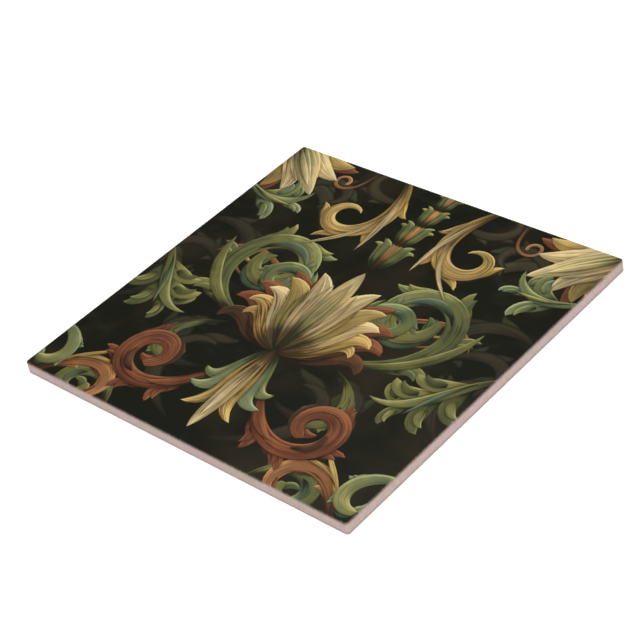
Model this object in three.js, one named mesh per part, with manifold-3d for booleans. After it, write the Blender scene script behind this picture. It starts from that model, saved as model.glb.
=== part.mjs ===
// A square wall tile of pressed, glazed ceramic, lying on its back.
// Millimetres. +Z leaves the glazed face, +Y points up the printed design, and the origin is
// the middle of the underside.

import * as THREE from 'three';
import Module from 'manifold-3d';

// The plate
const SIDE = 152;
const THICKNESS = 5;
const CORNER_RADIUS = 1.2;
const CORNER_STEPS = 5;

// The glazed edge, which rolls over from the face into the sides
const GLAZED_EDGE_RADIUS = 0.6;
const GLAZED_EDGE_STEPS = 4;

// The bevel that the press leaves round the underside
const FOOT_BEVEL = 0.2;

// The shallow pockets in the underside, which key the tile into its adhesive
const POCKETS_PER_ROW = 6;
const POCKET_SIDE = 20;
const LAND_WIDTH = 4;
const POCKET_DEPTH = 0.6;
const POCKET_DRAFT = 0.5;
const POCKET_CORNER_RADIUS = 3;
const POCKET_CORNER_STEPS = 3;
const CUTTER_OVERLAP = 0.5;

const GLAZE = { color: 0x4a4534, roughness: 0.22, metalness: 0 };

// The corners of a rounded square, anticlockwise from the middle of its right side.
function roundedSquare(side, radius, steps) {
  const centre = side / 2 - radius;
  const points = [];
  for (let quarter = 0; quarter < 4; quarter += 1) {
    const middle = Math.PI / 4 + (quarter * Math.PI) / 2;
    const x = Math.sign(Math.cos(middle)) * centre;
    const y = Math.sign(Math.sin(middle)) * centre;
    for (let step = 0; step <= steps; step += 1) {
      const angle = ((quarter + step / steps) * Math.PI) / 2;
      points.push(new THREE.Vector2(x + radius * Math.cos(angle), y + radius * Math.sin(angle)));
    }
  }
  return points;
}

// A closed body through rounded squares stacked from the lowest to the highest level.
function stackedSquares(levels, steps) {
  const rings = levels.map((level) => roundedSquare(level.side, level.radius, steps));
  const ringLength = rings[0].length;
  const positions = rings.flatMap((ring, n) => ring.flatMap((p) => [p.x, p.y, levels[n].z]));
  const triangles = [];
  for (let ring = 0; ring < rings.length - 1; ring += 1) {
    for (let n = 0; n < ringLength; n += 1) {
      const low = ring * ringLength + n;
      const lowNext = ring * ringLength + ((n + 1) % ringLength);
      triangles.push(low, lowNext, lowNext + ringLength);
      triangles.push(low, lowNext + ringLength, low + ringLength);
    }
  }
  const top = (rings.length - 1) * ringLength;
  for (const [a, b, c] of THREE.ShapeUtils.triangulateShape(rings[0], [])) {
    triangles.push(a, c, b);
    triangles.push(top + a, top + b, top + c);
  }
  return { vertProperties: new Float32Array(positions), triVerts: new Uint32Array(triangles) };
}

// The plate before its underside is pressed: foot bevel, upright sides, rolled glazed edge.
function plateLevels() {
  const levels = [
    { z: 0, side: SIDE - 2 * FOOT_BEVEL, radius: CORNER_RADIUS - FOOT_BEVEL },
    { z: FOOT_BEVEL, side: SIDE, radius: CORNER_RADIUS },
  ];
  for (let step = 0; step <= GLAZED_EDGE_STEPS; step += 1) {
    const angle = ((step / GLAZED_EDGE_STEPS) * Math.PI) / 2;
    const inset = GLAZED_EDGE_RADIUS * (1 - Math.cos(angle));
    levels.push({
      z: THICKNESS - GLAZED_EDGE_RADIUS * (1 - Math.sin(angle)),
      side: SIDE - 2 * inset,
      radius: CORNER_RADIUS - inset,
    });
  }
  return levels;
}

// One pocket's cutter, with drafted walls that go on at the same slope below the underside.
function pocketLevels() {
  const slope = POCKET_DRAFT / POCKET_DEPTH;
  return [-CUTTER_OVERLAP, POCKET_DEPTH].map((z) => ({
    z,
    side: POCKET_SIDE - 2 * slope * z,
    radius: POCKET_CORNER_RADIUS - slope * z,
  }));
}

const wasm = await Module();
wasm.setup();

function solid({ vertProperties, triVerts }) {
  return new wasm.Manifold(new wasm.Mesh({ numProp: 3, vertProperties, triVerts }));
}

function pressedPlate() {
  const pocket = solid(stackedSquares(pocketLevels(), POCKET_CORNER_STEPS));
  const pitch = POCKET_SIDE + LAND_WIDTH;
  const first = (-(POCKETS_PER_ROW - 1) * pitch) / 2;
  let plate = solid(stackedSquares(plateLevels(), CORNER_STEPS));
  for (let column = 0; column < POCKETS_PER_ROW; column += 1) {
    for (let row = 0; row < POCKETS_PER_ROW; row += 1) {
      plate = plate.subtract(pocket.translate([first + column * pitch, first + row * pitch, 0]));
    }
  }
  return plate;
}

function geometryOf(body) {
  const { vertProperties, triVerts } = body.getMesh();
  const geometry = new THREE.BufferGeometry();
  geometry.setAttribute('position', new THREE.BufferAttribute(vertProperties, 3));
  geometry.setIndex(new THREE.BufferAttribute(triVerts, 1));
  geometry.computeVertexNormals();
  return geometry;
}

const tile = new THREE.Mesh(geometryOf(pressedPlate()), new THREE.MeshStandardMaterial(GLAZE));
tile.name = 'ceramic_tile';

const part = new THREE.Group();
part.add(tile);

export default part;
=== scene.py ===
"""A square glazed ceramic tile with a flat painted acanthus design, on a pale studio floor.

The design is made as overlapping ribbons in the plane of the face, in millimetres. One flat mesh
is cut along all their edges, so nothing is raised, and the material paints each ribbon from its
place along and across it.
"""
import math

import bpy
import numpy as np
from mathutils import Matrix, Vector
from mathutils.geometry import delaunay_2d_cdt


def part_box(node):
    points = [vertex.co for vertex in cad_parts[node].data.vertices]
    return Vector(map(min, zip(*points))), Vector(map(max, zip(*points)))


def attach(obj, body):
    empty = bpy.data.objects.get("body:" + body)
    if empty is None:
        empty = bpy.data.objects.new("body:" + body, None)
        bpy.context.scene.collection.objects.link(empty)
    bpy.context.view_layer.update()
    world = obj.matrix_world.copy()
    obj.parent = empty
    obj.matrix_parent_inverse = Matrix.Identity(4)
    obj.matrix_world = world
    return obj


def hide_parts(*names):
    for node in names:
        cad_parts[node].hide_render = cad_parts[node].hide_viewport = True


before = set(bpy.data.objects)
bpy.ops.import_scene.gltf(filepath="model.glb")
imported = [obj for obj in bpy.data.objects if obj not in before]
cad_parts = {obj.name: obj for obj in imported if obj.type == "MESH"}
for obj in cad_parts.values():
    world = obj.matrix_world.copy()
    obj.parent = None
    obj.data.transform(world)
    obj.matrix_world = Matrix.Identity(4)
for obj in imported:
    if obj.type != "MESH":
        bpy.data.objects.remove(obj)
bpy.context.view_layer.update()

NODE = "ceramic_tile"
PIECE = "printed_tile"
MM = 0.001

# The plate, in millimetres, as the CAD node has it
LOW, HIGH = (np.array(corner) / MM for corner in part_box(NODE))
SIDE = HIGH[0] - LOW[0]
THICKNESS = HIGH[2] - LOW[2]
CORNER_RADIUS = 1.2
GLAZED_EDGE_RADIUS = 0.6
FOOT_BEVEL = 0.2
POCKETS_PER_ROW = 6
POCKET_SIDE = 20.0
LAND_WIDTH = 4.0
POCKET_DEPTH = 0.6
POCKET_DRAFT = 0.5
POCKET_CORNER_RADIUS = 3.0
POCKET_STEPS = 6

# The face as it is printed: flat to FLAT, over the glazed edge and a little down the sides
FLAT = SIDE / 2 - GLAZED_EDGE_RADIUS
FLAT_CORNER = CORNER_RADIUS - GLAZED_EDGE_RADIUS
EDGE_ARC = GLAZED_EDGE_RADIUS * math.pi / 2
BLEED = 1.6  # how far down the upright sides the print's cells go
PRINT_REACH = EDGE_ARC + BLEED
EDGE_STEPS = 5
CORNER_STEPS = 8


# Colours of the print, as 8-bit sRGB: the deep, the body and the light of each paint

PAINTS = {
    "green": ((40, 44, 26), (98, 104, 63), (165, 169, 108)),
    "moss": ((44, 44, 26), (112, 110, 62), (174, 170, 106)),
    "sage": ((43, 51, 36), (104, 113, 77), (166, 174, 127)),
    "teal": ((34, 40, 30), (76, 90, 69), (116, 132, 102)),
    "gold": ((70, 54, 26), (150, 122, 68), (218, 186, 118)),
    "cream": ((88, 70, 44), (170, 148, 104), (230, 210, 160)),
    "russet": ((44, 26, 18), (102, 59, 39), (150, 96, 62)),
    "umber": ((34, 24, 17), (70, 47, 31), (108, 75, 48)),
    "tan": ((78, 48, 28), (156, 108, 66), (214, 162, 108)),
    "dusk": ((34, 36, 22), (76, 78, 46), (120, 120, 74)),
    "ghost": ((36, 33, 25), (64, 58, 43), (88, 79, 59)),
    "shade": ((36, 38, 27), (62, 65, 45), (92, 95, 64)),
}
HAIRINESS = {"cream": 1.0, "gold": 1.0, "tan": 0.9, "russet": 0.8, "umber": 0.7}
PLAIN_HAIRINESS = 0.45  # how strong the streaks are in the other paints
PAINTED_LIGHT = np.array([-0.35, 0.94])  # where the painted light comes from, on the right half
SHADOW_REACH = 1.3  # how far a leaf's painted shadow falls beyond its edge


def linear(colour):
    """The linear value of an 8-bit sRGB colour."""
    share = np.array(colour) / 255
    return np.where(share <= 0.04045, share / 12.92, ((share + 0.055) / 1.055) ** 2.4)


# Ribbons: the lobes and stems that the design is made of

class Spine:
    """A curve whose turning, in degrees for each equal share of its length, follows turns."""

    LONGEST_STEP = 2.8
    SHARPEST_STEP = 8.0  # in degrees
    FEWEST_STEPS = 8

    def __init__(self, start, heading, length, turns):
        bent = np.sum(np.abs(turns)) / self.SHARPEST_STEP
        steps = max(self.FEWEST_STEPS, math.ceil(max(length / self.LONGEST_STEP, bent)))
        share = (np.arange(steps) + 0.5) / steps
        knots = (np.arange(len(turns)) + 0.5) / len(turns)
        rate = np.interp(share, knots, turns) * len(turns)
        headings = np.radians(heading + np.concatenate([[0], np.cumsum(rate) / steps]))
        middles = (headings[1:] + headings[:-1]) / 2
        moves = np.column_stack([np.cos(middles), np.sin(middles)]) * length / steps
        self.points = np.array(start, float) + np.vstack([[0, 0], np.cumsum(moves, axis=0)])
        self.along = np.column_stack([np.cos(headings), np.sin(headings)])
        self.headings = np.degrees(headings)
        self.shares = np.linspace(0, 1, steps + 1)
        self.length = length

    def at(self, share):
        """The point and the heading at a share of the length."""
        x, y, heading = (np.interp(share, self.shares, run) for run in (*self.points.T, self.headings))
        return np.array([x, y]), heading

    def bend(self, share, reach=0.03):
        """The turning near a share of the length, in degrees per millimetre."""
        low, high = max(share - reach, 0), min(share + reach, 1)
        return (self.at(high)[1] - self.at(low)[1]) / (self.length * (high - low))


class Ribbon:
    """A painted strip along a spine, with its own width to the left and right of it."""

    WOBBLE = 0.05  # how unevenly a hand paints its width
    WOBBLES = 9.0  # how fast that comes and goes along it, in radians
    PHASE_STEP = 2.4  # sets one ribbon's wobble apart from the next
    SEED_STEP = 0.37  # sets one ribbon's streaks apart from the next
    BLUNT_ROOT = 0.9  # from this share of the width on, a root is rounded
    LONGEST_ROUND_END = 0.45  # as a share of the length
    SWELL = 1.1  # above 1, the root widens slowly at first

    def __init__(
        self, number, spine, width, paint, root=0.3, belly=0.5, tip=0.0, lean=0.0, full=0.8,
        root_dark=0.5, soft=0.0, tone=0.0,
    ):
        share = spine.shares
        rise = root + (1 - root) * np.sin(np.pi / 2 * np.clip(share / belly, 0, 1)) ** self.SWELL
        fall = np.cos(np.pi / 2 * np.clip((share - belly) / (1 - belly), 0, 1)) ** full
        half = width * np.where(share < belly, rise, tip + (1 - tip) * fall)
        half *= self.round_end(1 - share, tip * width / spine.length)
        if root > self.BLUNT_ROOT:
            half *= self.round_end(share, width / spine.length)
        self.spine, self.points, self.along = spine, spine.points, spine.along
        self.across = np.column_stack([-spine.along[:, 1], spine.along[:, 0]])
        phase = self.WOBBLES * share + self.PHASE_STEP * number
        self.halves = [
            half * (1 + side * lean) * (1 + self.WOBBLE * np.sin(phase + side)) for side in (-1, 1)
        ]
        self.beyond = SHADOW_REACH * np.sqrt(half / width)
        first, last = (paint, paint) if isinstance(paint, str) else paint
        seed, hairy = self.SEED_STEP * number, HAIRINESS.get(first, PLAIN_HAIRINESS)
        self.traits = (spine.length, width, root_dark, soft, tone, seed, hairy)
        self.colours = [
            linear(a) * (1 - share)[:, None] + linear(b) * share[:, None]
            for a, b in zip(PAINTS[first], PAINTS[last])
        ]
        self.casts_shadow = soft == 0

    def round_end(self, distance, radius):
        """One over most of the ribbon, and a quarter circle's fall within a radius of its end."""
        if radius <= 0:
            return 1.0
        inside = np.clip(1 - distance / min(radius, self.LONGEST_ROUND_END), 0, 1)
        return np.sqrt(1 - inside**2)

    def lines(self):
        """The lines along the ribbon from right to left: shadow, edge, middle, edge, shadow."""
        right, left = self.halves
        offsets = (-right - self.beyond, -right, 0 * right, left, left + self.beyond)
        return [self.points + offset[:, None] * self.across for offset in offsets]


class Design:
    """The right half of the print: ribbons from the lowest up."""

    def __init__(self):
        self.ribbons = []

    def paint(self, spine, width, paint, **form):
        self.ribbons.append(Ribbon(len(self.ribbons), spine, width, paint, **form))
        return spine

    def strand(self, start, heading, length, turns, width, paint, **form):
        return self.paint(Spine(start, heading, length, turns), width, paint, **form)

    def lobe(self, spine, share, side, length, away, width, paint, shift=0.0, start=10, **form):
        """A lobe that hugs its leaf from a share of its length and then turns away on one side."""
        point, heading = spine.at(share)
        out = np.radians(heading + side * 90)
        point = point + shift * np.array([math.cos(out), math.sin(out)])
        bend = spine.bend(share) * length
        turns = (bend / 3, bend / 3 + side * away * 0.35, side * away * 0.65)
        return self.strand(point, heading + side * start, length, turns, width, paint, **form)

    def flame(self, spine, share, side, length, away, width, paint, **form):
        """A pointed lobe that grows out of its leaf without a dark root."""
        form = {"shift": 0.2 * width, "root": 0.45, "belly": 0.38, "tip": 0.03, "root_dark": 0.3} | form
        return self.lobe(spine, share, side, length, away, width, paint, **form)

    def rib(self, *place, **form):
        """A slim lobe that lies along its leaf."""
        return self.lobe(*place, **{"start": 0, "root": 0.08, "belly": 0.6} | form)

    def toothed(self, spine, share, side, length, away, width, paints, **form):
        """A lobe with a tooth of its own on its outer side."""
        first, second = paints
        lobe = self.flame(spine, share, side, length, away, width, first, **form)
        self.flame(lobe, 0.34, side, length * 0.5, away * 0.8, width * 0.52, second)

    def acanthus(self, spine, width, paints, shares, reach, spread=88):
        """A leaf with pairs of toothed lobes, from its tip back to its root, under its blade."""
        top, light, under = paints
        for n, share in enumerate(shares):
            size = math.sin(math.pi * (0.24 + 0.5 * n / len(shares)))
            for side in (1, -1):
                paints = (top, light) if side > 0 else (light, top)
                self.toothed(spine, share, side, reach * spine.length * size, spread,
                             width * 0.95 * size, paints, start=26, belly=0.5, tip=0.12)
        self.paint(spine, width * 0.62, (top, light), root=0.3, belly=0.6, tip=0.06, root_dark=0.4)
        self.rib(spine, 0.3, -1, spine.length * 0.5, 6, width * 0.24, under, shift=0.2 * width,
                 root=0.1, belly=0.55)

    def scroll_leaf(
        self, start, heading, length, turns, width, paints=("green", "moss", "teal"), side=-1,
        lobes=(0.66, 0.48, 0.30), reach=0.25, tip=0.3, inner=0.42,
    ):
        """A broad curling leaf with lobes on its outer side, a turned-over end and inner lobes."""
        top, light, under = paints
        spine = Spine(start, heading, length, turns)
        self.lobe(spine, 0.78, side, length * 0.26, -70, width * 0.9, under, start=18, root=0.5,
                  belly=0.5, tip=0.06)
        for n, share in enumerate(lobes):
            self.toothed(spine, share, side, length * reach, 64 + 8 * n, width * 0.8,
                         (top, light) if n % 2 else (light, top))
        self.lobe(spine, 0.93, -side, width * 2.4, 40, width * 0.5, top, start=14,
                  shift=0.2 * width, root=0.5, belly=0.4, tip=0.05, root_dark=0.2)
        self.paint(spine, width * 1.05, (top, light), root=0.1, belly=0.66, tip=tip, full=0.6,
                   root_dark=0.4, lean=0.12 * side)
        if inner:
            self.rib(spine, 0.12, -side, length * inner, 40, width * 0.55, light, shift=0.1, tip=0.04)
            self.rib(spine, 0.5, -side, length * inner * 0.5, 60, width * 0.42, under,
                     shift=0.3 * width, start=2, belly=0.5)
        return spine

    def plume(
        self, start, heading, length, turns, width, paints=("gold", "cream", "tan"), side=1,
        tip=0.05, barbs=((0.70, 0.20), (0.54, 0.24), (0.38, 0.25), (0.22, 0.2)),
    ):
        """A long feathery leaf with barbs on its outer side and light strands on it."""
        body, vein, back = paints
        spine = Spine(start, heading, length, turns)
        for n, (share, reach) in enumerate(barbs):
            self.flame(spine, share, -side, length * reach, 52 + 5 * n, width * 0.66,
                       body if n % 2 else back)
        self.paint(spine, width, (back, body), root=0.12, belly=0.55, tip=tip, full=0.75,
                   root_dark=0.45, lean=-0.15 * side)
        for share, reach, thick in ((0.12, 0.55, 0.34), (0.34, 0.50, 0.26)):
            self.rib(spine, share, side, length * reach, 6, width * thick, vein,
                     shift=(0.1 + share) * width * 0.7)
        return spine

    def tendril(self, start, heading, length, turns, width, paint):
        """A thin curl that ends in a small drop."""
        return self.strand(start, heading, length, turns, width, paint, root=0.35, belly=0.93,
                           tip=0.9, root_dark=0.6)

    def petal(self, foot, heading, length, turns, width, paint, strands=2):
        """A petal with finer strands painted on it."""
        spine = self.strand(foot, heading, length, turns, width, paint, root=0.2, belly=0.62,
                            tip=0.05, root_dark=0.75)
        for n in range(strands):
            side = 1 if n % 2 else -1
            self.rib(spine, 0.16 + 0.05 * n, side, length * 0.66, -4, width * 0.3, paint,
                     shift=0.2 * width, root_dark=0.6, tone=0.08)

    def palmette(self, foot, scale=1.0, tilt=90.0, spread=1.0, sides=(1,)):
        """Petals that fan out from a foot: cream and gold over dark red ones."""
        back = ((100, 34, 3.4, "umber", (40, 10, -130)), (80, 37, 4.0, "russet", (34, 10, -104)),
                (58, 39, 4.2, ("umber", "russet"), (24, 4, -80)), (33, 41, 4.0, "russet", (12, 0, -50)))
        front = ((94, 29, 3.1, ("tan", "gold"), (50, 16, -150)), (76, 33, 3.9, "gold", (38, 8, -110)),
                 (56, 35, 4.1, "cream", (28, 4, -84)), (37, 38, 4.1, ("moss", "gold"), (16, 2, -60)),
                 (18, 40, 4.2, "cream", (8, 0, -34)))
        for side in sides:
            for petals in (back, front):
                for angle, length, width, paint, turns in petals:
                    self.petal(foot, tilt - side * angle * spread, length * scale,
                               [side * turn for turn in turns], width * scale, paint)
        self.petal(foot, tilt, 44 * scale, (0, 0), 4.0 * scale, ("moss", "cream"))

    def husk(self, foot, size):
        """A small bellflower that opens upwards."""
        for heading, length, paint, turns in (
            (30, 16, ("green", "moss"), (56, -10, -100)), (58, 17, "green", (26, -6, -60)),
        ):
            self.strand(foot, heading, length * size, turns, 2.2 * size, paint, tip=0.04, root_dark=0.6)
        self.petal(foot, 90, 20 * size, (0, 0), 2.1 * size, ("tan", "gold"), strands=0)

    def ghost(self, start, heading, length, turns, width, lobes=4, dim=0.3):
        """A dim leaf in the background."""
        spine = Spine(start, heading, length, turns)
        side = -1 if sum(turns) > 0 else 1
        for n in range(lobes):
            back = n / max(lobes - 1, 1)
            paint = "shade" if n % 2 else "ghost"
            self.lobe(spine, 0.8 - 0.6 * back, side, length * 0.32, 60, width * 0.75, paint,
                      start=14, root=0.3, tip=0.1, root_dark=0.2, soft=dim)
        self.paint(spine, width, "ghost", root=0.2, tip=0.2, root_dark=0.2, soft=dim * 0.8)


def acanthus_design():
    """The whole print, right half. The left half is its mirror image."""
    design = Design()
    for ghost in (
        ((10, -70), 20, 60, (20, 50, 120), 3.6), ((79, -34), 150, 52, (-30, -70, -150), 3.4),
        ((30, 34), 40, 50, (30, -60, -150), 3.2), ((79, 20), 150, 46, (30, 60, 130), 3.4),
        ((52, -2), 60, 40, (-30, -60, -130), 3.0), ((16, -44), 330, 50, (40, 60, 150), 3.2),
        ((60, 50), 110, 40, (30, 70, 150), 3.0), ((12, 66), 330, 36, (30, 60, 140), 2.6),
        ((44, -26), 350, 36, (40, 70, 130), 2.8),
    ):
        design.ghost(*ghost)

    design.scroll_leaf((32, -84), 80, 58, (-30, -60, -120, -180), 3.4, side=1, lobes=(0.6, 0.36))
    design.tendril((20, -8), 40, 60, (-30, 20, 150, 300), 0.8, ("umber", "gold"))
    design.scroll_leaf((26, -22), -24, 40, (-20, -60, -110), 2.8, side=1, lobes=(0.6, 0.36))
    design.strand((12, 0), 66, 50, (-10, -50, -90), 1.5, ("moss", "gold"), tip=0.04)
    design.strand((8, -6), 50, 62, (-20, -10, -90), 1.3, ("umber", "tan"), tip=0.04)
    design.scroll_leaf((2, -19), -6, 140, (22, 56, 92, 140, 170), 4.3,
                       lobes=(0.72, 0.60, 0.48, 0.36, 0.24), reach=0.16)
    design.scroll_leaf((6, -12), 50, 56, (30, -40, -110, -170), 2.9, ("sage", "green", "teal"),
                       side=1, lobes=(0.62, 0.4))
    design.plume((26, 84), 236, 80, (14, 40, 110, 190), 3.6, ("gold", "cream", "gold"))
    design.tendril((34, 84), 290, 44, (-20, 30, 130, 240), 0.8, ("umber", "tan"))
    for height, size in ((28, 1.1), (43, 0.95), (56, 0.8), (67, 0.7)):
        design.husk((0, height), size)
    design.palmette((86, 86), 1.12, 225, 0.85, sides=(1, -1))
    design.acanthus(Spine((86, 6), 200, 56, (36, 0, -70)), 3.6, ("dusk", "moss", "teal"),
                    (0.72, 0.54, 0.36), 0.38)
    design.acanthus(Spine((86, 52), 216, 44, (-10, -40, -70)), 3.3, ("sage", "green", "moss"),
                    (0.66, 0.42), 0.42)
    design.plume((72, -84), 104, 60, (20, 40, 80, 110), 3.2, ("tan", "gold", "russet"), side=-1)
    design.scroll_leaf((86, -52), 182, 38, (20, 60, 130), 2.8, ("sage", "moss", "teal"),
                       lobes=(0.62, 0.4), inner=0)
    design.scroll_leaf((4, -30), -66, 98, (10, 60, 130, 220), 3.8, ("russet", "russet", "umber"),
                       lobes=(0.66, 0.52, 0.38, 0.26), reach=0.19, inner=0.3)
    for petal in (
        (-50, 30, (-30, 10, 130), 3.0, "green"), (-62, 36, (-22, 10, 100), 3.2, "sage"),
        (-75, 41, (-12, 0, 70), 3.1, "gold"), (-90, 46, (0, 0), 3.4, "cream"),
    ):
        design.petal((0, -24), *petal)
    design.palmette((0, -25), 1.12)
    return design.ribbons


# The printed face: the plane, cut along every ribbon's edges

GRID = 0.01  # the design's points are rounded to this, so that none nearly coincide
EXACT = 1e-5  # how near points and edges of the design count as one
THINNEST = 4e-3  # the least height of a triangle that is kept where it can be avoided
ON_AXIS = 4e-3  # how near the axis of symmetry a point counts as on it
NOT_ZERO = 1e-6  # the least that something is divided by
GROUND_STRIP = (-1, -1)  # the strip that the bare ground counts as
SHADOW_LINES = {0: -1, 3: 1}  # a shadow strip's first line, and its side of the spine
SMALLEST_FACE = 1e-5
PAST_FROM = 2.0  # how far inside the flat the way to its edge is followed


def quarter_circle(x, y, radius, start, steps):
    """Points about a centre, anticlockwise from an angle in degrees."""
    angles = [math.radians(start + 90 * step / steps) for step in range(steps + 1)]
    return [(x + radius * math.cos(angle), y + radius * math.sin(angle)) for angle in angles]


def half_outline(beyond):
    """The right half of the face's outline, beyond the flat by that much, from bottom to top."""
    radius = max(FLAT_CORNER + beyond, 0)
    centre = FLAT + beyond - radius
    points = quarter_circle(centre, -centre, radius, -90, CORNER_STEPS)
    points += quarter_circle(centre, centre, radius, 0, CORNER_STEPS)
    return [(0.0, -(FLAT + beyond)), *points, (0.0, FLAT + beyond)]


def rolled(points):
    """Where points of the print's plane lie on the tile, the normal there, and how far past the
    flat they are, which is negative on it."""
    core = FLAT - FLAT_CORNER
    over = np.sign(points) * np.maximum(np.abs(points) - core, 0)
    reach = np.hypot(*over.T)
    out = over / np.maximum(reach, NOT_ZERO)[:, None]
    past = np.where(reach > 0, reach - FLAT_CORNER, np.abs(points).max(axis=1) - FLAT)
    down = np.maximum(past, 0)
    angle = np.minimum(down / GLAZED_EDGE_RADIUS, math.pi / 2)
    flat = points - out * down[:, None]
    place = flat + out * (GLAZED_EDGE_RADIUS * np.sin(angle))[:, None]
    height = THICKNESS - GLAZED_EDGE_RADIUS * (1 - np.cos(angle)) - np.maximum(down - EDGE_ARC, 0)
    normal = np.column_stack([out * np.sin(angle)[:, None], np.cos(angle)])
    return np.column_stack([place, height]), normal, np.maximum(past, -PAST_FROM)


def turn_of(loop, points):
    """Twice the area of a loop of points, positive when it runs anticlockwise."""
    x, y = np.array([points[n] for n in loop]).T
    return float(np.sum(x * np.roll(y, -1) - y * np.roll(x, -1)))


def strip_faces(quad, points):
    """A quad as one face, or as two triangles where a tight curl folds it, all anticlockwise."""
    a, b, c, d = quad
    threes = [a, b, c], [b, c, d], [c, d, a], [d, a, b]
    turns = [turn_of(three, points) for three in threes]
    if min(turns) > 0:
        return [list(quad)]
    halves = zip(threes[::2], turns[::2])
    return [half[::1 if turn > 0 else -1] for half, turn in halves if abs(turn) > SMALLEST_FACE]


def face_cells(ribbons):
    """Cuts the right half of the face along the ribbons. Gives the points, the triangles and each
    triangle's key: the strip on top, as its station and its first line, and the shadow strips
    that fall on it."""
    points = [tuple(p) for p in half_outline(PRINT_REACH)]
    polygons, strips = [list(range(len(points)))], [GROUND_STRIP]
    rings = []
    for beyond in (-PAST_FROM, *np.linspace(0, EDGE_ARC, EDGE_STEPS + 1)):
        ring = half_outline(beyond)
        rings += [(len(points) + n, len(points) + n + 1) for n in range(len(ring) - 1)]
        points += ring
    first = 0
    for ribbon in ribbons:
        count, base = len(ribbon.points), len(points)
        points += [tuple(p) for line in ribbon.lines() for p in np.round(line / GRID) * GRID]
        for line in (0, 3, 1, 2) if ribbon.casts_shadow else (1, 2):
            for n in range(count - 1):
                a = base + line * count + n
                faces = strip_faces((a, a + 1, a + count + 1, a + count), points)
                polygons += faces
                strips += [(first + n, line)] * len(faces)
        first += count
    places, edges, triangles, _, edge_sources, covers = delaunay_2d_cdt(
        [Vector(p) for p in points], rings, polygons, 0, EXACT, True
    )
    on_ring = [edge for edge, old in zip(edges, edge_sources) if old and min(old) < len(rings)]
    inside, keys = [], []
    for triangle, cover in zip(triangles, covers):
        if 0 not in cover:
            continue
        top = max(n for n in cover if strips[n][1] not in SHADOW_LINES)
        above = (strips[n] for n in cover if n > top and strips[n][1] in SHADOW_LINES)
        inside.append(triangle)
        keys.append((strips[top], tuple(sorted(above)) if top else ()))
    return merged_cells(places, inside, keys, on_ring)


def ways_round(triangle):
    a, b, c = triangle
    return (a, b), (b, c), (c, a)


def merged_cells(points, triangles, keys, kept):
    """The same cells cut again, without the edges inside them, except the kept ones. A cell is
    all that shares a key. Gives the new points, triangles and keys."""
    beside = {way: key for t, key in zip(triangles, keys) for way in ways_round(t)}
    walls = [way for way in kept if way in beside and way[::-1] in beside]
    walls += [
        (a, b) for (a, b), key in beside.items()
        if (b, a) not in beside or (a < b and beside[b, a] != key)
    ]
    used = sorted({point for wall in walls for point in wall})
    number = {point: n for n, point in enumerate(used)}
    places = [Vector((0 if abs(points[p].x) < ON_AXIS else points[p].x, points[p].y)) for p in used]
    edges = [(number[a], number[b]) for a, b in walls]
    places, edges, triangles, _, edge_sources, _ = delaunay_2d_cdt(places, edges, [], 0, EXACT, True)
    walled = {}
    for (a, b), sources in zip(edges, edge_sources):
        if sources:
            start, end = walls[sources[0]]
            if (places[b] - places[a]).dot(points[end] - points[start]) < 0:
                start, end = end, start
            walled[a, b], walled[b, a] = beside.get((start, end)), beside.get((end, start))
    owner = {way: n for n, t in enumerate(triangles) for way in ways_round(t)}
    found = [[walled[way] for way in ways_round(t) if way in walled][:1] for t in triangles]
    known = [n for n, key in enumerate(found) if key]
    while known:
        n = known.pop()
        for way in ways_round(triangles[n]):
            other = owner.get(way[::-1])
            if other is not None and way not in walled and not found[other]:
                found[other] = found[n]
                known.append(other)
    inside = [n for n, key in enumerate(found) if key and key[0]]
    places, triangles = np.array([tuple(p) for p in places]), np.array(triangles)[inside]
    return without_slivers(places, triangles, [found[n][0] for n in inside])


def without_slivers(points, triangles, keys):
    """The same cells, with one edge of each sliver shrunk to a point where that folds nothing."""
    x, y = points[:, 0].tolist(), points[:, 1].tolist()
    cells = dict(enumerate(triangles.tolist()))
    around = {}
    for n, cell in cells.items():
        for point in cell:
            around.setdefault(point, set()).add(n)

    def length(a, b):
        return math.hypot(x[a] - x[b], y[a] - y[b])

    def height(a, b, c):
        turn = (x[b] - x[a]) * (y[c] - y[a]) - (x[c] - x[a]) * (y[b] - y[a])
        return turn / max(length(a, b), length(b, c), length(c, a), EXACT)

    def shrunk(kept, lost, least):
        """Moves one end of an edge to the other if its triangles stay that high, and says so."""
        gone = around[kept] & around[lost]
        moved = around[lost] - gone
        neighbours = [{p for n in around[end] for p in cells[n]} for end in (kept, lost)]
        if len(gone) != 2 or len(neighbours[0] & neighbours[1]) != 4:
            return False
        fresh = {n: [kept if p == lost else p for p in cells[n]] for n in moved}
        if min(height(*cell) for cell in fresh.values()) < least:
            return False
        for n in gone:
            for point in cells.pop(n):
                around[point].discard(n)
        cells.update(fresh)
        around[kept] |= moved
        return True

    ways = {way for cell in cells.values() for way in ways_round(cell)}
    border = {point for way in ways if way[::-1] not in ways for point in way}
    for least in (THINNEST, THINNEST / 2, THINNEST / 4, THINNEST / 8):
        for n in list(cells):
            if n in cells and height(*cells[n]) < least:
                edges = sorted(ways_round(cells[n]), key=lambda way: length(*way))
                choices = [way for edge in edges for way in (edge, edge[::-1]) if way[1] not in border]
                any(shrunk(*way, least) for way in choices)
    used, triangles = np.unique(list(cells.values()), return_inverse=True)
    return points[used], triangles.reshape(-1, 3), [keys[n] for n in cells]


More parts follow.
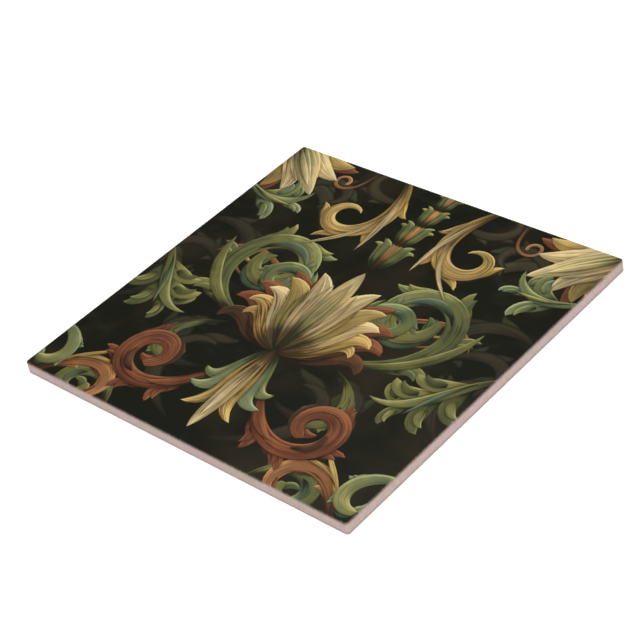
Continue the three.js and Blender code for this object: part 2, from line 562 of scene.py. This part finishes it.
class Stations:
    """The stations of all ribbons in one run, and what lies between two of them."""

    def __init__(self, ribbons):
        def run(values):
            return np.concatenate([values(ribbon) for ribbon in ribbons])

        self.points = run(lambda r: r.points)
        self.along = run(lambda r: r.along)
        self.across = run(lambda r: r.across)
        self.right = run(lambda r: r.halves[0])
        self.left = run(lambda r: r.halves[1])
        self.beyond = run(lambda r: r.beyond)
        self.share = run(lambda r: r.spine.shares)
        self.traits = run(lambda r: np.tile(r.traits, (len(r.points), 1)))
        self.colours = [run(lambda r, n=n: r.colours[n]) for n in range(3)]

    def locate(self, points, first):
        """For points (n, 3, 2) past station first: how to blend the next station's values in, how
        far they lie to the left of the spine, the half width on their side, and the way across."""
        def passed(station):
            return np.einsum("nck,nk->nc", points - self.points[station][:, None], self.along[station])

        a, b = passed(first), passed(first + 1)
        part = np.clip(a / np.maximum(a - b, NOT_ZERO), 0, 1)

        def between(values):
            low, high = values[first][:, None], values[first + 1][:, None]
            share = part.reshape(*part.shape, *[1] * (values.ndim - 1))
            return low * (1 - share) + high * share

        across = between(self.across)
        left = np.einsum("nck,nck->nc", points - between(self.points), across)
        half = np.where(left >= 0, between(self.left), between(self.right))
        return between, left, half, across


PAINT_VALUES = ("flow", "form", "look", "mood", "deep", "body", "light")
SHADOW_STRENGTH = 0.75
SHADOW_LEAN = 0.25  # what it gains on the side away from the painted light


def paint_cells(points, triangles, keys, stations):
    """What the material reads at the corners of each triangle, as (n, 3, 3) arrays."""
    tops = np.array([station for (station, _), _ in keys])
    shadows = np.array([
        (n, station, SHADOW_LINES[line])
        for n, (_, strips) in enumerate(keys) for station, line in strips
    ])
    paint = {name: np.zeros((len(triangles), 3, 3)) for name in PAINT_VALUES}
    paint["look"][..., 1] = -1
    corners = points[triangles]
    painted = np.flatnonzero(tops >= 0)
    between, left, half, across = stations.locate(corners[painted], tops[painted])
    place = np.clip(left / np.maximum(half, NOT_ZERO), -1, 1)
    length, width, root_dark, soft, tone, seed, hairy = np.moveaxis(between(stations.traits), -1, 0)
    share, rim = between(stations.share), np.maximum(half - np.abs(left), 0)
    groups = (
        (share * length, place, rim), (share, place * (across @ PAINTED_LIGHT), seed),
        (root_dark, soft, width), (tone, 0 * tone, hairy),
    )
    values = [np.stack(group, axis=-1) for group in groups] + [between(c) for c in stations.colours]
    for name, value in zip(PAINT_VALUES, values):
        paint[name][painted] = value
    shaded, station, side = shadows.T
    between, left, half, across = stations.locate(corners[shaded], station)
    away = 1 - (side[:, None] * left - half) / np.maximum(between(stations.beyond), NOT_ZERO)
    turned = SHADOW_STRENGTH - SHADOW_LEAN * side[:, None] * (across @ PAINTED_LIGHT)
    np.maximum.at(paint["mood"][..., 1], shaded, np.clip(away, 0, 1) * turned)
    return paint


# The whole tile as one closed mesh

CLAY_ONLY = 9.0  # "past" on the back, where no print reaches
MAP_SHARE = 0.86  # the part of the bake map's width that the face fills
MAP_GAP = 0.006
MAP_SCALE = MAP_SHARE / (2 * (FLAT + PRINT_REACH))
STRIP_PITCH = 0.031
BACK_MAP = 0.122
MIRRORED_SEED = 31.0  # keeps the left half's brush strokes from copying the right half's


class Surface:
    """A closed surface as it grows: points, and triangles with their corners' values."""

    def __init__(self):
        self.places = np.zeros((0, 3))
        self.triangles = []
        self.corners = {"normal": [], "past": [], "map": []}

    def points(self, places):
        """Adds points and gives their numbers."""
        first = len(self.places)
        self.places = np.vstack([self.places, places])
        return np.arange(first, len(self.places))

    def add(self, triangles, normals, pasts, maps):
        self.triangles.append(triangles)
        for kept, values in zip(self.corners.values(), (normals, pasts, maps)):
            kept.append(values)


def mirrored_half(points, triangles, paint):
    """The whole face from its right half."""
    points = np.where(np.abs(points) < [ON_AXIS, 0], 0.0, points)
    off_axis = np.flatnonzero(points[:, 0] > 0)
    twin = np.arange(len(points))
    twin[off_axis] = len(points) + np.arange(len(off_axis))
    whole = np.vstack([points, points[off_axis] * [-1, 1]])
    both = np.vstack([triangles, twin[triangles][:, ::-1]])
    painted = {name: np.concatenate([v, v[:, ::-1]]) for name, v in paint.items()}
    painted["form"][len(triangles):, :, 2] += MIRRORED_SEED
    return whole, both, painted


def border_of(triangles):
    """The loop of points round the open border, in the order that the triangles turn."""
    known = {way for triangle in triangles.tolist() for way in ways_round(triangle)}
    following = {a: b for a, b in known if (b, a) not in known}
    loop = [min(following)]
    while following[loop[-1]] != loop[0]:
        loop.append(following[loop[-1]])
    return np.array(loop)


def ring_quads(low, high):
    """Two triangles for each pair of neighbours of two rings, anticlockwise from above."""
    low_next, high_next = np.roll(low, -1), np.roll(high, -1)
    corners = (low, low_next, high_next), (low, high_next, high)
    return np.concatenate([np.column_stack(three) for three in corners])


def add_sides(surface, ring):
    """The upright sides and the foot bevel, below the ring of points where the print's cells end.
    Gives the outline that the underside starts from."""
    places = surface.places[ring]
    _, outward, _ = rolled(places[:, :2])
    outward = outward * [1, 1, 0]
    outward /= np.linalg.norm(outward, axis=1, keepdims=True)
    foot = places * [1, 1, 0] + [0, 0, FOOT_BEVEL]
    sole = places * [1, 1, 0] - outward * FOOT_BEVEL
    rings = [ring, surface.points(foot), surface.points(sole)]
    slanted = (outward - [0, 0, 1]) / math.sqrt(2)
    upright = places[0, 2] - FOOT_BEVEL
    depths = (0, upright, upright + FOOT_BEVEL * math.sqrt(2))
    order = np.arange(len(ring))
    spot = ring_quads(order, order)
    is_low = ring_quads(order >= 0, order < 0)
    x, y, _ = outward[spot].mean(axis=1).T
    strip = np.where(np.abs(x) > np.abs(y), np.where(x > 0, 0, 1), np.where(y > 0, 2, 3))[:, None]
    along = np.where(strip < 2, places[spot, 1], places[spot, 0])
    v = MAP_GAP + (along + FLAT + PRINT_REACH) * MAP_SCALE
    for n, normal in enumerate((outward, slanted)):
        depth = np.where(is_low, depths[n + 1], depths[n])
        u = MAP_GAP * 2 + MAP_SHARE + strip * STRIP_PITCH + depth * MAP_SCALE
        quads = ring_quads(rings[n + 1], rings[n])
        surface.add(quads, normal[spot], PRINT_REACH + depth, np.stack([u, v], axis=-1))
    return rings[-1]


def rounded_square(half, radius):
    """The points of a rounded square about the origin, anticlockwise."""
    c = half - radius
    quarters = enumerate(((c, c), (-c, c), (-c, -c), (c, -c)))
    return np.concatenate([quarter_circle(x, y, radius, 90 * n, POCKET_STEPS) for n, (x, y) in quarters])


def add_underside(surface, outline):
    """The flat lands and the shallow pockets that key the tile into its adhesive."""
    row = (np.arange(POCKETS_PER_ROW) - (POCKETS_PER_ROW - 1) / 2) * (POCKET_SIDE + LAND_WIDTH)
    centres = [(x, y) for x in row for y in row]
    mouth = rounded_square(POCKET_SIDE / 2, POCKET_CORNER_RADIUS)
    floor = rounded_square(POCKET_SIDE / 2 - POCKET_DRAFT, POCKET_CORNER_RADIUS - POCKET_DRAFT)
    count = len(mouth)
    mouths = [surface.points(np.column_stack([mouth + centre, np.zeros(count)])) for centre in centres]
    numbers = np.concatenate([outline, *mouths])
    starts = range(len(outline), len(numbers), count)
    loops = [list(range(len(outline))), *(list(range(n, n + count)) for n in starts)]
    flat = [Vector(p) for p in surface.places[numbers, :2]]
    cut = delaunay_2d_cdt(flat, [], loops, 0, EXACT, True)
    lands = np.array([t for t, cover in zip(cut[2], cut[5]) if list(cover) == [0]])
    origin = np.array([old[0] for old in cut[3]])
    groups = [numbers[origin[lands]][:, ::-1]]
    for ring, centre in zip(mouths, centres):
        low = surface.points(np.column_stack([floor + centre, np.full(count, POCKET_DEPTH)]))
        heart = surface.points([(*centre, POCKET_DEPTH)])
        fan = np.column_stack([np.roll(low, -1), low, np.repeat(heart, count)])
        groups += [ring_quads(ring, low)[:, ::-1], fan]
    triangles = np.concatenate(groups)
    places = surface.places[triangles]
    normals = np.cross(places[:, 1] - places[:, 0], places[:, 2] - places[:, 0])[:, None]
    normals = normals / np.linalg.norm(normals, axis=2, keepdims=True)
    u = MAP_GAP + (SIDE / 2 - places[..., 0]) / SIDE * BACK_MAP
    v = 1 - MAP_GAP - (SIDE / 2 - places[..., 1]) / SIDE * BACK_MAP
    surface.add(triangles, np.repeat(normals, 3, axis=1), np.full(triangles.shape, CLAY_ONLY),
                np.stack([u, v], axis=-1))


def tile_mesh():
    """The tile, with the values that its material reads at the triangles' corners."""
    ribbons = acanthus_design()
    half, cells, keys = face_cells(ribbons)
    paint = paint_cells(half, cells, keys, Stations(ribbons))
    points, triangles, paint = mirrored_half(half, cells, paint)
    surface = Surface()
    places, normals, past = rolled(points)
    surface.points(places)
    maps = MAP_GAP + (points + FLAT + PRINT_REACH) * MAP_SCALE
    surface.add(triangles, normals[triangles], past[triangles], maps[triangles])
    add_underside(surface, add_sides(surface, border_of(triangles)))

    mesh = bpy.data.meshes.new(PIECE)
    joined = np.concatenate(surface.triangles)
    mesh.from_pydata((surface.places * MM).tolist(), [], joined.tolist())
    corners = {name: np.concatenate(values) for name, values in surface.corners.items()}

    def fill(layer, field, values):
        layer.data.foreach_set(field, values.astype(np.float32).ravel())

    fill(mesh.attributes.new("past", "FLOAT", "CORNER"), "value", corners["past"])
    bare = np.zeros((len(joined) - len(triangles), 3, 3))
    for name, values in paint.items():
        layer = mesh.attributes.new(name, "FLOAT_VECTOR", "CORNER")
        fill(layer, "vector", np.concatenate([values, bare]))
    fill(mesh.uv_layers.new(name="OFBake"), "uv", corners["map"])
    mesh.normals_split_custom_set(corners["normal"].reshape(-1, 3).tolist())
    return mesh


# Node trees written as formulas

class Field:
    """A value that varies over a surface: a socket of a node tree, with arithmetic."""

    def __init__(self, socket):
        self.socket, self.tree = socket, socket.id_data

    def node(self, kind, *values, **settings):
        return node_field(self.tree, kind, *values, **settings)

    def math(self, operation, *values):
        return self.node("Math", *values, operation=operation)

    def __add__(self, other):
        return self.math("ADD", self, other)

    def __sub__(self, other):
        return self.math("SUBTRACT", self, other)

    def __rsub__(self, other):
        return self.math("SUBTRACT", other, self)

    def __mul__(self, other):
        return self.math("MULTIPLY", self, other)

    __radd__, __rmul__ = __add__, __mul__

    def rise(self, low, high):
        """From 0 at low to 1 at high, smoothly."""
        return self.node("MapRange", self, low, high, 0.0, 1.0, interpolation_type="SMOOTHSTEP")

    def scaled(self, x, y, z):
        return self.node("VectorMath", self, (x, y, z), operation="MULTIPLY")

    def parts(self):
        """The three numbers of a vector."""
        split = self.tree.nodes.new("ShaderNodeSeparateXYZ")
        feed(split.inputs[0], self)
        return [Field(output) for output in split.outputs]

    def noise(self, scale, detail=2.0):
        """Cloudy noise about 0, mostly between -0.5 and 0.5, over this vector."""
        return (self.node("TexNoise", self, None, scale, detail) - 0.5) * 2.0


def feed(socket, value):
    if isinstance(value, Field):
        value.tree.links.new(value.socket, socket)
    else:
        socket.default_value = value


def node_field(tree, kind, *values, output=0, **settings):
    """One output of a new node, with its first inputs fed and its settings made."""
    node = tree.nodes.new("ShaderNode" + kind)
    for name, value in settings.items():
        setattr(node, name, value)
    for socket, value in zip(node.inputs, values):
        if value is not None:
            feed(socket, value)
    return Field(node.outputs[output])


def colour(srgb):
    return (*linear(srgb), 1.0)


def blend(share, first, second):
    """The first colour where share is 0, and the second where it is 1."""
    other_sockets = [None] * 5
    return share.node("Mix", share, *other_sockets, first, second, output=2, data_type="RGBA")


def dimmed(field, share):
    """A colour times a number."""
    return field.node("VectorMath", field, None, None, share, operation="SCALE")


# The finish: a glazed print that ends just over the edge, on bare pinkish clay

GROUND = (20, 21, 10)
GROUND_BROWN = (42, 35, 22)
GROUND_GREEN = (35, 38, 27)
CLAY_PINK = (203, 176, 177)
CLAY_TAN = (194, 175, 161)
# the grey of the painted shade along the foot, where the tile meets the floor
FOOT_SHADE_COLOUR = (116, 114, 118)
PRINT_ENDS = (0.0, 1.7)  # how far past the flat the print starts to fade and is gone
RAGGEDNESS = 0.35  # how far the print's fading wanders
GLAZE_ROUGHNESS = 0.32
GLAZE_MOTTLING = 0.05
CLAY_ROUGHNESS = 0.85
SPECULAR_LEVEL = 0.25
GLAZE_RIPPLE = 0.02  # this and the next two are heights in millimetres
CLAY_GRAIN = 0.06
CLAY_SCRATCH = 0.05

# What lightens or darkens the paint, in shares of the way from its deep to its light colour
BASE_TONE = 0.48
LIT_TONE = 0.20
STREAK_TONE = 0.36
BLOTCH_TONE = 0.26
TIP_TONE = 0.18
RIM_TONE = 0.22
ROOT_TONE = -0.9
GAP_TONE = -0.45
SHADOW_TONE = -0.36
BODY_TONES = (0.0, 0.55)  # where the deep colour ends and the body colour is full
LIGHT_TONES = (0.50, 0.96)
CONTOUR_DARKNESS = 0.55
WARM_TINT = (0.16, 0.02, -0.24)  # what the warmest strokes gain in red, green and blue

# Streaks: length and thickness in millimetres, an offset that sets them apart, and detail
BRUSH = (24.0, 1.2, 0.0, 3.0)
HAIRS = (16.0, 0.45, 7.0, 2.0)
GAPS = (20.0, 0.5, 13.0, 1.0)
GAP_LEVELS = (0.16, 0.30)

# How far inside a stroke's edge, in millimetres
RIM_RISES = (0.1, 0.3)
RIM_FALLS = (0.4, 1.0)
CONTOUR_FADES = (0.0, 0.45)
GHOST_FADES = (0.0, 1.4)

ROOT_FADES = (0.0, 0.45)  # along a stroke, as shares of its length
SUNK_ROOT_FADES = (0.0, 0.28)
ROOT_SINKS = 0.85  # how far a dark root sinks into the ground
GROUND_SHADOW = 0.35
GROUND_GREENNESS = 0.6
# painted shade along the foot: the clay greys towards the floor, fully below the first height
FOOT_SHADE_RISES = (0.4, 1.5)  # how high up the foot's grey starts to fade and is gone
FOOT_SHADE_SHARE = 0.45


def ground_colour(place):
    """Near-black brown with dim clouds of olive."""
    clouds = place.noise(0.035, 3.0).rise(-0.1, 0.5)
    strokes = place.scaled(1, 1.6, 1).noise(0.11, 3.0).rise(0.0, 0.6)
    brown = blend(clouds, colour(GROUND), colour(GROUND_BROWN))
    return blend(strokes * GROUND_GREENNESS, brown, colour(GROUND_GREEN))


def paint_colour(place):
    """The print: each ribbon's three colours, by its painted light, its streaks and its edges."""
    tree = place.tree
    flow, form, look, mood, deep, body, light = (
        node_field(tree, "Attribute", output=1, attribute_name=name) for name in PAINT_VALUES
    )
    (along, across, rim), (share, lit, seed) = flow.parts(), form.parts()
    (root_dark, soft, width), (tone, shadow, hairy) = look.parts(), mood.parts()

    def streaks(length, thickness, offset, detail):
        """Noise drawn out along the stroke."""
        x, y = along * (1 / length), across * width * (1 / thickness)
        return node_field(tree, "CombineXYZ", x, y, seed + offset).noise(1.0, detail)

    brush, hairs = streaks(*BRUSH), streaks(*HAIRS)
    gaps = streaks(*GAPS).rise(*GAP_LEVELS)
    blotches = place.noise(0.10, 2.0)
    root = (1.0 - share.rise(*ROOT_FADES)) * root_dark
    rim_light = (rim.rise(*RIM_RISES) - rim.rise(*RIM_FALLS)) * lit.rise(0.0, 0.8)
    tones = tone + BASE_TONE + lit * LIT_TONE + (brush + hairs) * hairy * STREAK_TONE
    tones = tones + blotches * BLOTCH_TONE + share * TIP_TONE + rim_light * RIM_TONE
    tones = tones + root * ROOT_TONE + gaps * hairy * GAP_TONE + shadow * SHADOW_TONE
    painted = blend(tones.rise(*BODY_TONES), deep, body)
    painted = blend(tones.rise(*LIGHT_TONES), painted, light)
    contour = (1.0 - rim.rise(*CONTOUR_FADES)) * (1.0 - lit.rise(-0.5, 0.4))
    painted = dimmed(painted, 1.0 - contour * CONTOUR_DARKNESS)
    tint = node_field(tree, "CombineXYZ", *((brush + blotches) * gain + 1.0 for gain in WARM_TINT))
    painted = painted.node("VectorMath", painted, tint, operation="MULTIPLY")

    ground = dimmed(ground_colour(place), 1.0 - shadow * GROUND_SHADOW)
    sunken = (1.0 - share.rise(*SUNK_ROOT_FADES)) * root_dark * ROOT_SINKS
    covering = (1.0 - soft) * (1.0 - sunken)
    dim = soft.rise(0.05, 0.3)
    covering = covering * (1.0 - dim * (1.0 - rim.rise(*GHOST_FADES)))
    is_paint = soft.math("GREATER_THAN", soft, -0.5)
    return blend(covering * is_paint, ground, painted)


def scratches(place):
    """Fine upright scratches in the clay."""
    return place.scaled(1, 1, 0.12).noise(2.6, 2.0)


def clay_colour(place):
    """Bare fired clay: pink and tan clouds, scratches and grains, and painted shade that greys it along
    the foot, where the tile meets the floor.
    """
    clouds = (place.noise(0.07, 3.0) + place.noise(0.33, 2.0) * 0.8).rise(-0.45, 0.45)
    grains = place.noise(4.0, 1.0)
    clay = blend(clouds, colour(CLAY_PINK), colour(CLAY_TAN))
    clay = dimmed(clay, 1.0 + scratches(place) * 0.10 + grains * 0.08 + place.noise(0.5, 1.0) * 0.1)
    # painted shade: the clay greys along the foot, where the tile meets the floor
    foot = 1.0 - (place.parts()[2] + grains * 0.3).rise(*FOOT_SHADE_RISES)
    return blend(foot * FOOT_SHADE_SHARE, clay, colour(FOOT_SHADE_COLOUR))


def new_material(name):
    material = bpy.data.materials.new(name)
    material.use_nodes = True
    return material, material.node_tree, material.node_tree.nodes["Principled BSDF"]


def tile_material():
    material, tree, shader = new_material("glazed_ceramic")
    place = node_field(tree, "TexCoord", output=3).scaled(1 / MM, 1 / MM, 1 / MM)
    past = node_field(tree, "Attribute", output=2, attribute_name="past")
    clay_share = (past + place.noise(1.2, 3.0) * RAGGEDNESS).rise(*PRINT_ENDS)
    feed(shader.inputs["Base Color"], blend(clay_share, paint_colour(place), clay_colour(place)))
    roughness = clay_share * (CLAY_ROUGHNESS - GLAZE_ROUGHNESS) + place.noise(0.3) * GLAZE_MOTTLING
    feed(shader.inputs["Roughness"], roughness + GLAZE_ROUGHNESS)
    shader.inputs["Specular IOR Level"].default_value = SPECULAR_LEVEL
    ripple = place.noise(0.45, 1.0) * GLAZE_RIPPLE
    grain = (place.noise(2.2, 3.0) * CLAY_GRAIN + scratches(place) * CLAY_SCRATCH) * clay_share
    bump = tree.nodes.new("ShaderNodeBump")
    bump.inputs["Distance"].default_value = MM
    feed(bump.inputs["Height"], ripple + grain)
    tree.links.new(bump.outputs[0], shader.inputs["Normal"])
    return material


# The studio

FLOOR_SIDE = 12.0
FLOOR_DROP = 0.00005
FLOOR_COLOUR = (0.9, 0.9, 0.9, 1.0)
FLOOR_ROUGHNESS = 0.9
FLOOR_GLOW = (0.25, 1.0)  # near the tile, and far away beyond the lights
GLOW_RISES = (0.05, 1.0)  # the squares of the distances between which the glow grows
STAGE_LIGHT = 0.10
STAGE_WHITE = (1.0, 1.0, 1.0, 1.0)
SOFTBOXES = (  # each one's place and side, in metres, and its watts
    ("overhead", (0.3, -0.3, 1.5), 1.2, 24.0),
    ("front", (0.9, -0.5, 0.7), 0.8, 3.2),
    ("sheen", (-0.66, 0.60, 1.4), 0.5, 0.9),
)


def add_object(name, data):
    added = bpy.data.objects.new(name, data)
    bpy.context.scene.collection.objects.link(added)
    return added


def add_floor():
    mesh = bpy.data.meshes.new("studio_floor")
    half = FLOOR_SIDE / 2
    z = LOW[2] * MM - FLOOR_DROP
    corners = [(-half, -half, z), (half, -half, z), (half, half, z), (-half, half, z)]
    mesh.from_pydata(corners, [], [(0, 1, 2, 3)])
    material, tree, shader = new_material("studio_floor")
    for name, value in (("Base Color", FLOOR_COLOUR), ("Roughness", FLOOR_ROUGHNESS),
                        ("Specular IOR Level", 0.0), ("Emission Color", STAGE_WHITE)):
        shader.inputs[name].default_value = value
    x, y, _ = node_field(tree, "TexCoord", output=3).parts()
    low, high = FLOOR_GLOW
    glow = (x * x + y * y).rise(*GLOW_RISES) * (high - low) + low
    feed(shader.inputs["Emission Strength"], glow)
    mesh.materials.append(material)
    add_object("studio_floor", mesh)


def add_softbox(name, place, side, power):
    """A square light that faces the tile."""
    data = bpy.data.lights.new(name, "AREA")
    data.shape = "SQUARE"
    data.size = side
    data.energy = power
    light = add_object(name, data)
    light.location = place
    light.rotation_euler = Vector(place).to_track_quat("Z", "Y").to_euler()


def add_surroundings():
    """A dim studio that the camera sees as white."""
    world = bpy.data.worlds.new("studio")
    world.use_nodes = True
    tree = world.node_tree
    seen = node_field(tree, "LightPath", output=0)
    background = tree.nodes["Background"]
    background.inputs["Color"].default_value = STAGE_WHITE
    feed(background.inputs["Strength"], seen * (1.0 - STAGE_LIGHT) + STAGE_LIGHT)
    bpy.context.scene.world = world
    bpy.context.scene.view_settings.view_transform = "Standard"


# The photograph's camera, from a fit to the tile's straight edges

LENS = 102.418
SENSOR = 36.0
CAMERA_DISTANCE = 4.26130  # in sides of the tile, from the middle of the face
CAMERA_AZIMUTH, CAMERA_ELEVATION = 48.3283, 37.9147  # where it stands
AXIS_AZIMUTH, AXIS_ELEVATION = 48.4253, 38.23365  # which way it looks
ROLL = -11.83006
PRINT_BORDER_DROP = 0.45  # how far below the face the print's border lies


def direction(azimuth, elevation):
    """From the tile towards that azimuth and elevation."""
    a, e = math.radians(azimuth), math.radians(elevation)
    return Vector((math.sin(a) * math.cos(e), -math.cos(a) * math.cos(e), math.sin(e)))


def add_camera():
    data = bpy.data.cameras.new("camera")
    data.sensor_width = SENSOR
    data.lens = LENS
    camera = add_object("camera", data)
    back = direction(AXIS_AZIMUTH, AXIS_ELEVATION)
    right = Vector((0, 0, 1)).cross(back).normalized()
    turn = Matrix((right, back.cross(right), back)).transposed().to_4x4()
    roll = Matrix.Rotation(math.radians(ROLL), 4, "Z")
    middle = Vector((0, 0, THICKNESS - PRINT_BORDER_DROP))
    place = middle + direction(CAMERA_AZIMUTH, CAMERA_ELEVATION) * CAMERA_DISTANCE * SIDE
    camera.matrix_world = Matrix.Translation(place * MM) @ turn @ roll
    bpy.context.scene.camera = camera


def add_tile():
    mesh = tile_mesh()
    mesh.materials.append(tile_material())
    tile = add_object(PIECE, mesh)
    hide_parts(NODE)
    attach(tile, "root")


add_camera()
add_tile()
add_floor()
add_surroundings()
for softbox in SOFTBOXES:
    add_softbox(*softbox)
